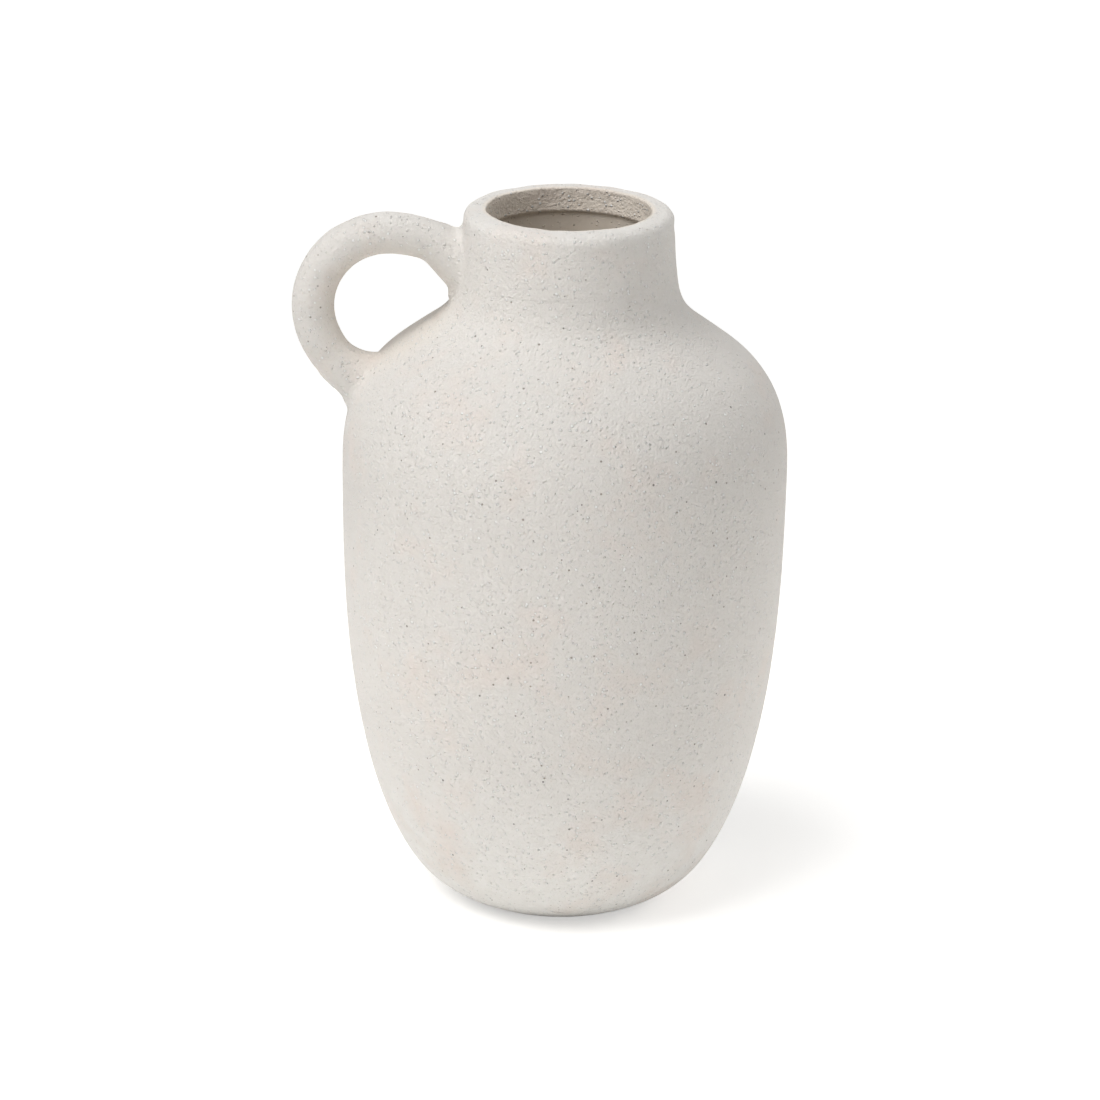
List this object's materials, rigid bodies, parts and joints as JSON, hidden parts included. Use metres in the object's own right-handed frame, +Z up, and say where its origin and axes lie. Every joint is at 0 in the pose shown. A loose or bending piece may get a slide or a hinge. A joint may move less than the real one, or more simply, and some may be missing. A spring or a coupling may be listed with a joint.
{
  "type": "stoneware jug vase",
  "caption": "Stoneware jug vase with a round belly, a short wide neck and a small loop handle from neck to shoulder, for dry or cut stems.",
  "frame": {"origin": "on the pot's axis, in the plane of the foot ring that it stands on", "axes": "+Z up along the pot's axis, -X towards the handle, the XZ plane through the handle is the plane of symmetry"},
  "size_m": [0.1425, 0.1278, 0.205],
  "materials": {
    "sanded_stoneware": "matt sanded slip, off-white with fine dark specks",
    "liner_glaze": "thin satin liner glaze, warm grey"
  },
  "bodies": {
    "root": {"belly": "sanded_stoneware", "neck": "sanded_stoneware", "neck_joint": "sanded_stoneware", "handle": "sanded_stoneware", "upper_handle_joint": "sanded_stoneware", "lower_handle_joint": "sanded_stoneware", "glaze_lining": "liner_glaze"}
  },
  "joints": []
}
